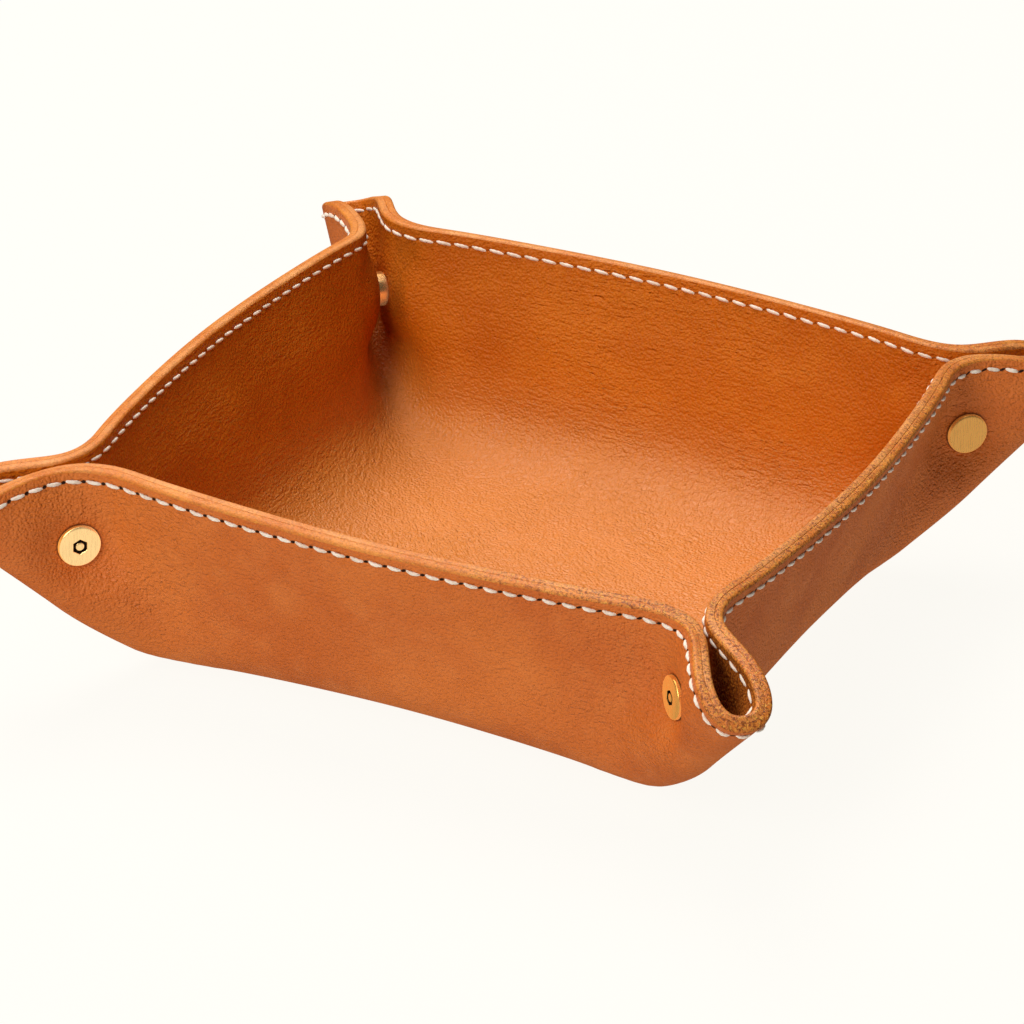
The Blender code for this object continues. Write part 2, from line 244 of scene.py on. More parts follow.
def floor_row():
    """Control points of the floor's edge over half a corner, on a rounded square."""
    straight = FLOOR_HALF - FLOOR_CORNER
    along = (0.0, 0.45 * straight, 0.9 * straight, straight + 0.35 * FLOOR_CORNER)
    bows = (1.1 * FLOOR_BOW, 0.8 * FLOOR_BOW, 0.3 * FLOOR_BOW, 0.0)
    row = [(*on_wall(FLOOR_HALF + bow, x), 0.0) for x, bow in zip(along, bows)]
    radius = 1.03 * FLOOR_CORNER
    centre = straight * math.sqrt(2)
    for turn in FLOOR_TURNS:
        angle = math.radians(turn)
        row.append((centre + radius * math.cos(angle), radius * math.sin(angle), 0.0))
    return np.array(row)


def between(low, high, shares, ridge):
    """A row part way up from one row to another, its ear ridge pushed out."""
    row = low + (high - low) * np.array(shares)[:, None]
    row[EAR_COLUMN:, 0] += ridge
    return row


def half_corner():
    """Five control rows, floor to rim, over half a corner."""
    floor = floor_row()
    rim = rim_row()
    low = between(floor, rim, LOW_SHARES, LOW_RIDGE)
    low[:NECK_COLUMN, :2] += LOW_WALL / math.sqrt(2)
    low[NECK_COLUMN:, 1] = LOW_HALVES
    pinch = between(floor, rim, PINCH_SHARES, PINCH_RIDGE)
    pinch[NECK_COLUMN, 1] = NECK_HALF_PINCH
    return np.array([floor * FLAT_SHARE, floor, low, pinch, rim])


def diagonal(angle):
    """Unit vectors out along a corner's diagonal and across it."""
    turn = math.radians(angle)
    out = np.array((math.cos(turn), math.sin(turn)))
    return out, np.array((math.sin(turn), -math.cos(turn)))


def control_net():
    """The closed control rows of the whole tray."""
    half = half_corner()
    count = half.shape[1]
    share = np.array((0.0, 0.0, LOW_SHARES[-1], PINCH_SHARES[-1], 1.0))
    columns = []
    for name, angle, _ in CORNERS:
        out, across = diagonal(angle)
        longer, lean, opened, shift = EAR_RELAXED[name]
        order = [(j, 1) for j in range(count)] + [(j, -1) for j in range(count - 1, 0, -1)]
        for j, side in order:
            flat = half[:, j, :1] * out + side * half[:, j, 1:2] * across
            if j >= EAR_COLUMN:
                flat = flat + share[:, None] * (longer * out + lean * across)
            if j == NECK_COLUMN:
                flat = flat + share[:, None] * (side * opened + shift) * across
            columns.append(np.hstack((flat, half[:, j, 2:])))
    net = np.array(columns).transpose(1, 0, 2)
    net[:, :, 2] += SKIN
    return net


def around(net, places):
    """The control rows turned into closed smooth rings, read at each place."""
    first = np.floor(places).astype(int)
    t = places - first
    weights = (
        (1 - t) ** 3 / 6,
        (3 * t**3 - 6 * t**2 + 4) / 6,
        (-3 * t**3 + 3 * t**2 + 3 * t + 1) / 6,
        t**3 / 6,
    )
    rings = 0
    for k, weight in enumerate(weights):
        rings = rings + weight[None, :, None] * net[:, (first + k - 1) % net.shape[1]]
    return rings


def upward(heights):
    """Weights of the five control rows at each height from 0 to 3, a clamped quadratic spline."""
    heights = np.clip(heights, 0.0, TOP_ROW)
    t0, t1, t2 = heights, heights - 1, heights - 2
    zero = np.zeros_like(heights)
    low = (1 - t0) ** 2, 2 * t0 - 1.5 * t0**2, t0**2 / 2, zero, zero
    middle = zero, (1 - t1) ** 2 / 2, (1 + 2 * t1 - 2 * t1**2) / 2, t1**2 / 2, zero
    high = zero, zero, (1 - t2) ** 2 / 2, 2 * (1 - t2) - 1.5 * (1 - t2) ** 2, t2**2
    where = np.clip(heights.astype(int), 0, 2)
    return np.choose(where, (np.array(low), np.array(middle), np.array(high)))


def smooth_step(x, start, end):
    """Rises from 0 at start to 1 at end."""
    t = np.clip((x - start) / (end - start), 0.0, 1.0)
    return t * t * (3 - 2 * t)


def unit(vectors):
    """Vectors one to a row, each brought to length 1."""
    return vectors / np.linalg.norm(vectors, axis=1, keepdims=True)


def pin_place(corner):
    """Middle and axis of a corner's post screw; the axis points out through the screw's head."""
    name, angle, side = corner
    low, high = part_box(name + "_collar")
    _, across = diagonal(angle)
    return np.array((low + high) / 2), np.array((side * across[0], side * across[1], 0.0))


def clamp(points):
    """Draws both walls of each neck in to the post screw that holds them together."""
    points = points.copy()
    for corner in CORNERS:
        out, across = diagonal(corner[1])
        middle, _ = pin_place(corner)
        along = points[:, :2] @ out - middle[:2] @ out
        apart = points[:, :2] @ across
        radius = np.hypot(along, points[:, 2] - middle[2])
        share = 1 - smooth_step(radius, CLAMP_NEAR, CLAMP_FAR)
        move = np.clip(apart, -CLAMP_HALF, CLAMP_HALF) - apart
        points[:, :2] += (share * move)[:, None] * across
    return points


def skin_points(net, places, heights):
    """Points on the middle of the double skin."""
    return clamp(np.einsum("ri,rik->ik", upward(heights), around(net, places)))


def skin_frame(net, places, heights):
    """Points, outward normals and rises per unit of height of the middle of the double skin."""
    step = 1e-3
    heights = np.clip(np.zeros(len(places)) + heights, step, TOP_ROW - step)
    points = skin_points(net, places, heights)
    run = skin_points(net, places + step, heights) - skin_points(net, places - step, heights)
    rise = skin_points(net, places, heights + step) - skin_points(net, places, heights - step)
    return points, unit(np.cross(run, rise)), rise / (2 * step)


def stations(net):
    """Places around the tray, closer together where the rim turns and by the post screws."""
    columns = net.shape[1] // 4
    fine = np.linspace(0.0, columns / 2, 1200)
    rim = around(net, fine)[-1]
    steps = np.diff(rim, axis=0)
    headings = np.unwrap(np.arctan2(steps[:, 1], steps[:, 0]))
    turning = np.abs(np.gradient(headings))
    spacing = np.linalg.norm(steps, axis=1) / 0.0016 + turning / math.radians(7.0)
    travelled = np.concatenate(((0.0,), np.cumsum(spacing)))
    marks = np.linspace(0.0, travelled[-1], STEPS_PER_HALF + 1)
    half = np.interp(marks, travelled, fine)
    corner = np.concatenate((half, columns - half[-2:0:-1]))
    return np.concatenate([corner + columns * k for k in range(4)])


def below_rim(net, places, inset):
    """Heights a distance inset below the rim."""
    _, _, rises = skin_frame(net, places, TOP_ROW)
    return TOP_ROW - inset / np.linalg.norm(rises, axis=1)


def press(points, outer):
    """Leather pressed in under the heads on the outside, or held off by the collar on the inside."""
    points = points.copy()
    soft = PRESS_SOFTNESS
    for corner in CORNERS:
        middle, axis = pin_place(corner)
        offset = points - middle
        along = offset @ axis
        radius = np.linalg.norm(offset - along[:, None] * axis, axis=1)
        near = (radius < PRESS_RADIUS) & (np.abs(along) < PRESS_HALF)
        depth = np.abs(along[near])
        r = radius[near]
        if outer:
            rise = HEAD_RISE * smooth_step(r, HEAD_RADIUS + HEAD_MARGIN, HEAD_REACH)
            limit = HEAD_SEAT - HEAD_SINK + rise
            fresh = -soft * np.logaddexp(-depth / soft, -limit / soft)
        else:
            fall = COLLAR_FALL * smooth_step(r, COLLAR_RADIUS + COLLAR_MARGIN, COLLAR_REACH)
            limit = COLLAR_SEAT + COLLAR_CLEAR - fall
            fresh = soft * np.logaddexp(depth / soft, limit / soft)
        move = np.sign(along[near]) * (fresh - depth)
        points[near] += move[:, None] * axis
    return points


def new_mesh(name, points, faces, materials, face_material=None, uvs=None):
    """A smooth-shaded object made from points and faces."""
    mesh = bpy.data.meshes.new(name)
    mesh.from_pydata(points.tolist(), [], faces)
    for material in materials:
        mesh.materials.append(material)
    if face_material is not None:
        mesh.polygons.foreach_set("material_index", face_material)
    if uvs is not None:
        layer = mesh.uv_layers.new(name="seam")
        layer.data.foreach_set("uv", np.asarray(uvs, dtype=np.float32).ravel())
    mesh.polygons.foreach_set("use_smooth", [True] * len(mesh.polygons))
    mesh.update()
    obj = bpy.data.objects.new(name, mesh)
    bpy.context.scene.collection.objects.link(obj)
    return obj


def hole_cutter(corner):
    """A rod of the barrel hole's radius through one pinched corner."""
    middle, axis = pin_place(corner)
    direction = Vector(axis).to_track_quat("Z", "Y").to_matrix()
    steps = HOLE_STEPS
    points = []
    for z in (-HOLE_HALF, HOLE_HALF):
        for j in range(steps):
            a = 2 * math.pi * j / steps
            local = Vector((HOLE_RADIUS * math.cos(a), HOLE_RADIUS * math.sin(a), z))
            points.append(list(Vector(middle) + direction @ local))
    faces = [(j, (j + 1) % steps, steps + (j + 1) % steps, steps + j) for j in range(steps)]
    faces.append(tuple(range(steps))[::-1])
    faces.append(tuple(range(steps, 2 * steps)))
    return new_mesh("hole_cutter", np.array(points), faces, [])


def cut_holes(obj):
    """Barrel holes through both walls of each pinched corner."""
    for corner in CORNERS:
        cutter = hole_cutter(corner)
        boolean = obj.modifiers.new("hole", "BOOLEAN")
        boolean.operation = "DIFFERENCE"
        boolean.solver = "EXACT"
        boolean.object = cutter
        bpy.context.view_layer.update()
        evaluated = obj.evaluated_get(bpy.context.evaluated_depsgraph_get())
        fresh = bpy.data.meshes.new_from_object(evaluated)
        obj.modifiers.clear()
        obj.data = fresh
        bpy.data.objects.remove(cutter)


def seam_curve(net, side):
    """The seam on one face: a finely sampled closed curve with its frame and running length."""
    columns = net.shape[1]
    places = np.linspace(0.0, columns, SEAM_CURVE_STEPS + 1)[:-1]
    heights = below_rim(net, places, SEAM_INSET)
    points, normals, rises = skin_frame(net, places, heights)
    points = points + normals * side * SKIN
    lengths = np.linalg.norm(np.roll(points, -1, axis=0) - points, axis=1)
    travelled = np.concatenate(((0.0,), np.cumsum(lengths)))
    return places, points, normals * side, unit(rises), travelled


def stitch_count(travelled):
    """Whole stitches that fit the seam's running length."""
    return int(round(travelled[-1] / STITCH_PITCH))


def shrinking_rings(edge_ring):
    """Rings of a panel's flat floor, each smaller than the last."""
    middle = edge_ring.mean(axis=0)
    return [middle + (edge_ring - middle) * (1 - k / FLOOR_RINGS) for k in range(1, FLOOR_RINGS)]


def panel_rings(net, places, side):
    """Rings of one panel with their depths below the rim, and where its cut edge starts and ends."""
    rings, depths = [], []

    def ring(heights, offset, depth):
        points, normals, _ = skin_frame(net, places, heights)
        rings.append(press(points + normals * side * offset, side > 0))
        depths.append(np.zeros(len(places)) + depth)

    top_of_body = below_rim(net, places, BODY_INSET)
    rise = np.linalg.norm(skin_frame(net, places, TOP_ROW)[2], axis=1)
    for k in range(BODY_ROWS + 1):
        heights = top_of_body * (k / BODY_ROWS) ** BODY_SPACING
        ring(heights, SKIN, (TOP_ROW - heights) * rise)
    for depth in np.arange(EDGE_TOP, EDGE_BOTTOM, -EDGE_STEP):
        ring(below_rim(net, places, depth), SKIN, depth)
    first_edge = len(rings)
    for depth, inward in EDGE:
        ring(below_rim(net, places, depth), SKIN - inward, depth)
    last_edge = len(rings)
    for k in range(BURIED_ROWS + 1):
        heights = below_rim(net, places, EDGE_BURIED) * (1 - k / BURIED_ROWS)
        points, normals, _ = skin_frame(net, places, heights)
        gap = TOUCH if k == 0 else PANEL_GAP / 2
        rings.append(points + normals * side * gap)
        depths.append((TOP_ROW - heights) * rise)
    floor_depths = [np.full(len(places), FLOOR_DEPTH)] * (FLOOR_RINGS - 1)
    rings = shrinking_rings(rings[0])[::-1] + rings + shrinking_rings(rings[-1])
    depths = floor_depths + depths + floor_depths
    return rings, depths, first_edge + FLOOR_RINGS - 1, last_edge + FLOOR_RINGS - 1


def make_panel(name, net, side, materials):
    """One panel: exposed face, rounded cut edge and buried face, then closed at the floor."""
    places = stations(net)
    count = len(places)
    seam_places, _, _, _, travelled = seam_curve(net, side)
    stitches = stitch_count(travelled)
    around_seam = np.append(seam_places, net.shape[1])
    seam_u = np.interp(places, around_seam, travelled) / travelled[-1] * stitches
    u_next = np.append(seam_u[1:], stitches)
    rings, depths, first_edge, last_edge = panel_rings(net, places, side)
    faces, face_material, uvs = [], [], []
    for r in range(len(rings) - 1):
        edge_face = 1 if first_edge + 1 <= r < last_edge else 0
        for j in range(count):
            k = (j + 1) % count
            quad = (r * count + j, r * count + k, (r + 1) * count + k, (r + 1) * count + j)
            corner_uvs = (
                (seam_u[j], depths[r][j] * 1000), (u_next[j], depths[r][k] * 1000),
                (u_next[j], depths[r + 1][k] * 1000), (seam_u[j], depths[r + 1][j] * 1000),
            )
            if side < 0:
                quad, corner_uvs = quad[::-1], corner_uvs[::-1]
            faces.append(quad)
            face_material.append(edge_face)
            uvs.extend(corner_uvs)
    for r, flip in ((0, side > 0), (len(rings) - 1, side < 0)):
        cap = [r * count + j for j in range(count)]
        faces.append(cap[::-1] if flip else cap)
        face_material.append(0)
        uvs.extend([(0.0, FLOOR_DEPTH * 1000)] * count)
    obj = new_mesh(name, np.concatenate(rings), faces, materials, face_material, uvs)
    cut_holes(obj)
    return obj


# ---------------------------------------------------------------- stitches


def stitch_path(frames, share, side, rng):
    """One stitch's middle line, dipping into its awl holes, with the seam's normals along it."""
    centre, normal, rise = frames[:, :3], unit(frames[:, 3:6]), unit(frames[:, 6:9])
    slant = STITCH_SLANT * (1.0 + 0.2 * rng.uniform(-1, 1)) * (1 if side > 0 else -1)
    arch = np.sin(math.pi * share) ** 0.55
    lift = THREAD_DIP + (THREAD_LIFT - THREAD_SINK[side] + THREAD_WANDER * rng.uniform(-1, 1)) * arch
    drift = THREAD_WANDER * rng.uniform(-1, 1)
    lean = 1 - 2 * share
    path = centre + normal * lift[:, None]
    path = path + rise * (slant * lean * (0.4 + 0.6 * np.abs(lean)) + drift)[:, None]
    return path, normal


def cord(path, normal, share, side, twist):
    """Points of a three-ply cord round a path, thinner towards its ends."""
    tangent = unit(np.gradient(path, axis=0))
    across = unit(np.cross(normal, tangent))
    outward = np.cross(tangent, across)
    points = []
    for k in range(STITCH_STEPS + 1):
        swell = math.sin(math.pi * share[k]) ** 0.6
        girth = THREAD_RADIUS[side] * (THREAD_END + (1 - THREAD_END) * swell)
        for j in range(THREAD_SIDES):
            angle = 2 * math.pi * j / THREAD_SIDES
            ply = 1 + THREAD_PLY * math.cos(3 * (angle - 2.2 * math.pi * share[k]) + twist)
            turn = across[k] * math.cos(angle) * 1.08 + outward[k] * math.sin(angle) * 0.92
            points.append(path[k] + turn * girth * ply)
    return points


def make_stitches(name, net, side, material):
    """Separate waxed stitches, each a twisted cord that dives into its awl holes at both ends."""
    _, points, normals, up, travelled = seam_curve(net, side)
    count = stitch_count(travelled)
    pitch = travelled[-1] / count
    columns = np.hstack((points, normals, up))
    closed = np.vstack((columns, columns[:1]))
    share = np.linspace(0.0, 1.0, STITCH_STEPS + 1)
    rng = np.random.default_rng(STITCH_SEEDS[side])
    verts, faces = [], []
    for i in range(count):
        spread = 0.5 + STITCH_SPREAD[side] * (share - 0.5)
        where = (i + spread) * pitch
        where = np.where(where >= travelled[-1], where - travelled[-1], where)
        frames = np.array([np.interp(where, travelled, closed[:, c]) for c in range(9)]).T
        path, normal = stitch_path(frames, share, side, rng)
        base = len(verts)
        verts += cord(path, normal, share, side, i)
        for k in range(STITCH_STEPS):
            for j in range(THREAD_SIDES):
                a = base + k * THREAD_SIDES + j
                b = base + k * THREAD_SIDES + (j + 1) % THREAD_SIDES
                faces.append((a, a + THREAD_SIDES, b + THREAD_SIDES, b))
        last = base + STITCH_STEPS * THREAD_SIDES
        faces.append([base + j for j in range(THREAD_SIDES)])
        faces.append([last + j for j in range(THREAD_SIDES)][::-1])
    return new_mesh(name, np.array(verts), faces, [material])


# ---------------------------------------------------------------- brass


def turned(name, rings, place, materials, hollow=False, recess=()):
    """A body turned through rings of radius and z, then placed; recess lists its bands darkened with
    painted shade.

    Its ends are closed flat, or a hollow one's last ring is joined back to its first.
    """
    steps = ROUND_STEPS
    angles = [2 * math.pi * j / steps for j in range(steps)]
    verts = []
    for radius, z in rings:
        for a in angles:
            r = radius(a) if callable(radius) else radius
            verts.append((r * math.cos(a), r * math.sin(a), z))
    bands = len(rings) if hollow else len(rings) - 1
    faces, face_material = [], []
    for k in range(bands):
        low, high = k * steps, (k + 1) % len(rings) * steps
        for j in range(steps):
            n = (j + 1) % steps
            faces.append((low + j, low + n, high + n, high + j))
            face_material.append(1 if k in recess else 0)
    if not hollow:
        faces.append(list(range(steps))[::-1])
        faces.append(list(range(len(verts) - steps, len(verts))))
        face_material += [0, 0]
    obj = new_mesh(name, np.array(verts), faces, materials, face_material)
    obj.data.set_sharp_from_angle(angle=SHARP_ANGLE)
    middle, axis = place
    spin = Vector(axis).to_track_quat("Z", "Y").to_matrix().to_4x4()
    obj.data.transform(Matrix.Translation(Vector(middle)) @ spin)
    obj.data.update()
    return obj


def hexagon(half_flats):
    """The radius of a hexagon, as a function of the angle."""

    def radius(angle):
        return half_flats / math.cos(math.atan2(math.sin(6 * angle), math.cos(6 * angle)) / 6)

    return radius


def head_rings(z_seat, direction):
    """A satin head: square under the rim, rounded over, and a faint dome on top."""
    profile = (
        (HEAD_RADIUS - 0.00012, 0.0), (HEAD_RADIUS, 0.00012), (HEAD_RADIUS, 0.00070),
        (HEAD_RADIUS - 0.00003, 0.00085), (HEAD_RADIUS - 0.00012, 0.00100),
        (HEAD_RADIUS - 0.00028, 0.00111), (HEAD_RADIUS - 0.00050, 0.00117),
        (HEAD_RADIUS - 0.00080, 0.00121), (0.0034, 0.00127), (0.0024, 0.00130),
    )
    return [(r, z_seat + direction * z) for r, z in profile]


def make_screw(name, place, materials):
    """Threaded shank and a head with a hexagonal socket round a centre pin."""
    top = HEAD_SEAT + HEAD_HEIGHT
    rings = [
        (0.0008, SHANK_END), (SHANK_RADIUS - SCREW_CHAMFER, SHANK_END),
        (SHANK_RADIUS, SHANK_END + SCREW_CHAMFER),
    ]
    z = SHANK_END + 2 * SCREW_CHAMFER
    while z < HEAD_SEAT - 0.0012:
        for dz, dr in ((0.0, 0.0), (0.0002, SCREW_GROOVE), (0.0004, SCREW_GROOVE), (0.0006, 0.0)):
            rings.append((SHANK_RADIUS - dr, z + dz))
        z += SCREW_PITCH
    rings.append((SHANK_RADIUS, HEAD_SEAT))
    rings += head_rings(HEAD_SEAT, 1)
    rings += [
        (hexagon(HEX_HALF_FLATS + 0.00012), top), (hexagon(HEX_HALF_FLATS), top - 0.00010),
        (hexagon(HEX_HALF_FLATS), top - HEX_DEPTH), (HEX_PIN_RADIUS, top - HEX_DEPTH),
        (HEX_PIN_RADIUS, top - 0.00018), (HEX_PIN_RADIUS - 0.00012, top - 0.00008),
        (0.0003, top - 0.00006),
    ]
    socket = range(len(rings) - 6, len(rings) - 3)
    return turned(name, rings, place, materials, recess=socket)


def make_barrel(name, place, materials):
    """Hollow post with a plain head."""
    rings = [(0.0006, -HEAD_SEAT - HEAD_HEIGHT), (0.0012, -HEAD_SEAT - HEAD_HEIGHT)]
    rings += head_rings(-HEAD_SEAT, -1)[::-1]
    rings += [
        (BARREL_RADIUS + 0.0002, -HEAD_SEAT), (BARREL_RADIUS, -HEAD_SEAT + 0.0002),
        (BARREL_RADIUS, BARREL_END - 0.0002), (BARREL_RADIUS - 0.0002, BARREL_END),
        (BORE_RADIUS + 0.0001, BARREL_END), (BORE_RADIUS, BARREL_END - 0.0001),
        (BORE_RADIUS, BORE_END), (0.0006, BORE_END),
    ]
    return turned(name, rings, place, materials[:1])


def make_collar(name, place, materials):
    """Ring that keeps the two walls apart."""
    half = COLLAR_SEAT
    r0, r1, b = HOLE_RADIUS, COLLAR_RADIUS, 0.00025
    rings = [
        (r0 + b / 2, -half), (r1 - b, -half), (r1, -half + b), (r1, half - b), (r1 - b, half),
        (r0 + b / 2, half), (r0, half - b / 2), (r0, -half + b / 2),
    ]
    return turned(name, rings, place, materials[:1], hollow=True)


# ---------------------------------------------------------------- materials


class Nodes:
    """A short way to write node graphs."""

    def __init__(self, name):
        self.material = bpy.data.materials.new(name)
        self.material.use_nodes = True
        self.tree = self.material.node_tree
        self.shader = self.tree.nodes["Principled BSDF"]

    def add(self, kind, inputs=None, **settings):
        node = self.tree.nodes.new(kind)
        for key, value in settings.items():
            setattr(node, key, value)
        for key, value in (inputs or {}).items():
            self.feed(node.inputs[key], value)
        return node

    def feed(self, socket, value):
        if isinstance(value, bpy.types.NodeSocket):
            self.tree.links.new(value, socket)
        else:
            socket.default_value = value

    def math(self, operation, a, b=0.0, clamp=False):
        node = self.add("ShaderNodeMath", {0: a, 1: b}, operation=operation, use_clamp=clamp)
        return node.outputs[0]

    def noise(self, vector, scale, detail=2.0, rough=0.5, distortion=0.0):
        inputs = {"Vector": vector, "Scale": scale, "Detail": detail, "Roughness": rough}
        inputs["Distortion"] = distortion
        return self.add("ShaderNodeTexNoise", inputs).outputs["Fac"]

    def ramp(self, value, low, high, start=0.0, end=1.0):
        inputs = {"Value": value, "From Min": low, "From Max": high, "To Min": start, "To Max": end}
        node = self.add("ShaderNodeMapRange", inputs, interpolation_type="SMOOTHSTEP")
        return node.outputs["Result"]

    def mix(self, share, a, b):
        node = self.add("ShaderNodeMix", data_type="RGBA")
        self.feed(node.inputs["Factor"], share)
        self.feed(node.inputs[6], a)
        self.feed(node.inputs[7], b)
        return node.outputs[2]

    def bump(self, height, distance, strength=1.0, normal=None):
        inputs = {"Height": height, "Distance": distance, "Strength": strength}
        if normal is not None:
            inputs["Normal"] = normal
        return self.add("ShaderNodeBump", inputs).outputs["Normal"]


def linear(red, green, blue):
    """Screen colour from 0 to 255 as linear light."""
    out = []
    for value in (red, green, blue):
        c = value / 255
        out.append(c / 12.92 if c <= 0.04045 else ((c + 0.055) / 1.055) ** 2.4)
    return (*out, 1.0)


def seam_marks(n, slant, size):
    """Masks of the awl holes and of the channel that the stitches lie in, from the seam's UVs."""
    uv = n.add("ShaderNodeUVMap", uv_map="seam").outputs["UV"]
    split = n.add("ShaderNodeSeparateXYZ", {0: uv})
    stitch, depth = split.outputs[0], split.outputs[1]
    nearest = n.math("ROUND", stitch)
    along = n.math("MULTIPLY", n.math("SUBTRACT", stitch, nearest), STITCH_PITCH * 1000)
    rise = n.math("SUBTRACT", SEAM_INSET * 1000, depth)
    leaned = n.math("SUBTRACT", along, n.math("MULTIPLY", rise, slant))
    wide = n.math("POWER", n.math("DIVIDE", leaned, 0.56 * size), 2.0)
    tall = n.math("POWER", n.math("DIVIDE", rise, 0.52 * size), 2.0)
    hole = n.ramp(n.math("ADD", wide, tall), 1.30, 0.55)
    channel = n.ramp(n.math("ABSOLUTE", rise), 0.95, 0.25)
    return hole, channel


def creases(n, bent):
    """Fine wrinkles that run out from the back left pinch, near and far bands of even width."""
    out, _ = diagonal(CORNERS[2][1])
    centre = (float(out[0] * THROAT * 1.3), float(out[1] * THROAT * 1.3), 0.0)
    offset = n.add("ShaderNodeVectorMath", {0: bent, 1: centre}, operation="SUBTRACT").outputs[0]
    split = n.add("ShaderNodeSeparateXYZ", {0: offset})
    turn = n.math("ARCTAN2", split.outputs[1], split.outputs[0])
    radius = n.add("ShaderNodeVectorMath", {0: offset}, operation="LENGTH").outputs["Value"]
    bands = []
    for width in (0.030, 0.095):
        flat = n.add("ShaderNodeCombineXYZ", {
            0: n.math("MULTIPLY", radius, 0.30),
            1: n.math("MULTIPLY", turn, width),
            2: n.math("MULTIPLY", split.outputs[2], 1.2),
        })
        bands.append(n.noise(flat.outputs[0], 900.0, 2.0, 0.55, 0.5))
    far = n.ramp(radius, 0.035, 0.075)
    near_part = n.math("MULTIPLY", bands[0], n.math("SUBTRACT", 1.0, far))
    return n.math("ADD", near_part, n.math("MULTIPLY", bands[1], far))


def pin_distance(n, position):
    """Distance from the nearest post screw's axis, all four corners folded onto one."""
    middle, _ = pin_place(CORNERS[0])
    split = n.add("ShaderNodeSeparateXYZ", {0: position})
    reach = n.math("ADD", n.math("ABSOLUTE", split.outputs[0]), n.math("ABSOLUTE", split.outputs[1]))
    out = n.math("SUBTRACT", n.math("DIVIDE", reach, math.sqrt(2)), float(np.hypot(*middle[:2])))
    up = n.math("SUBTRACT", split.outputs[2], float(middle[2]))
    squares = [n.math("POWER", n.math("ABSOLUTE", part), 2.0) for part in (out, up)]
    return n.math("SQRT", n.math("ADD", *squares))


def tanned(n, position, base, deep, pale):
    """Clouded colour with pale patches and dark specks, and the patches' own noise."""
    cloud = n.noise(position, 24.0, 3.0, 0.55)
    patch = n.noise(position, 120.0, 4.0, 0.6)
    speck = n.noise(position, 1500.0, 2.0, 0.6)
    colour = n.mix(n.ramp(cloud, 0.32, 0.70), deep, base)
    colour = n.mix(n.ramp(patch, 0.42, 0.80, 0.0, 0.40), colour, pale)
    return n.mix(n.ramp(speck, 0.52, 0.72, 0.0, 0.20), colour, deep), patch


def bend(n, position):
    """Position shifted by a fine noise, so that no grain cell is regular."""
    warp = n.add("ShaderNodeTexNoise", {"Vector": position, "Scale": WARP_SCALE, "Detail": 2.0})
    centred = {0: warp.outputs["Color"], 1: (0.5, 0.5, 0.5)}
    shift = n.add("ShaderNodeVectorMath", centred, operation="SUBTRACT")
    shift = n.add("ShaderNodeVectorMath", {0: shift.outputs[0]}, operation="SCALE")
    shift.inputs["Scale"].default_value = WARP
    moved = n.add("ShaderNodeVectorMath", {0: position, 1: shift.outputs[0]}, operation="ADD")
    return moved.outputs[0]


def relief(n, bent, folds, wrinkle, outer, hole, channel):
    """Bumps one on top of another: folds, grain cells, fine grain, and the sunken seam."""
    cells = n.add("ShaderNodeTexVoronoi", {"Vector": bent, "Scale": GRAIN_SCALE}, feature="SMOOTH_F1")
    cells.inputs["Smoothness"].default_value = 0.7
    grain = n.ramp(cells.outputs["Distance"], 0.10, 0.85, 1.0, 0.0)
    fine = n.noise(bent, FINE_SCALE, 2.0, 0.55)
    normal = n.bump(folds, wrinkle, 1.0)
    normal = n.bump(grain, GRAIN_BUMP if outer else LINING_GRAIN_BUMP, 1.0, normal)
    normal = n.bump(fine, FINE_BUMP, 1.0, normal)
    sunk = n.math("SUBTRACT", 1.0, n.math("ADD", n.math("MULTIPLY", channel, 0.30), hole, True))
    return n.bump(sunk, SEAM_BUMP, 1.0, normal)


def inner_faces(n, position, colour, inner):
    """Darker, mottled and rougher deep inside the front right fold, and the lining's floor and lower
    walls painted paler as painted sheen, with more gloss.
    """
    split = n.add("ShaderNodeSeparateXYZ", {0: position})
    reach = n.math("SUBTRACT", split.outputs[0], split.outputs[1])
    # Darker, mottled and rougher deep inside the front right fold.
    deep_fold = n.math("MULTIPLY", n.ramp(reach, 2 * THROAT + 0.002, 2 * THROAT + 0.012), inner)
    fold_noise = n.noise(position, 1500.0, 3.0, 0.75, 0.6)
    mottled = n.mix(n.ramp(fold_noise, 0.40, 0.66), linear(96, 42, 8), linear(206, 122, 38))
    colour = n.mix(n.math("MULTIPLY", deep_fold, 0.8), colour, mottled)
    # Painted sheen: the lining's floor and lower walls are painted paler; the same mask raises their
    # gloss in leather().
    floor_sheen = n.math("MULTIPLY", n.ramp(split.outputs[2], 0.032, 0.008), inner)
    return n.mix(floor_sheen, colour, n.mix(0.75, colour, PAINTED_SHEEN)), deep_fold, floor_sheen


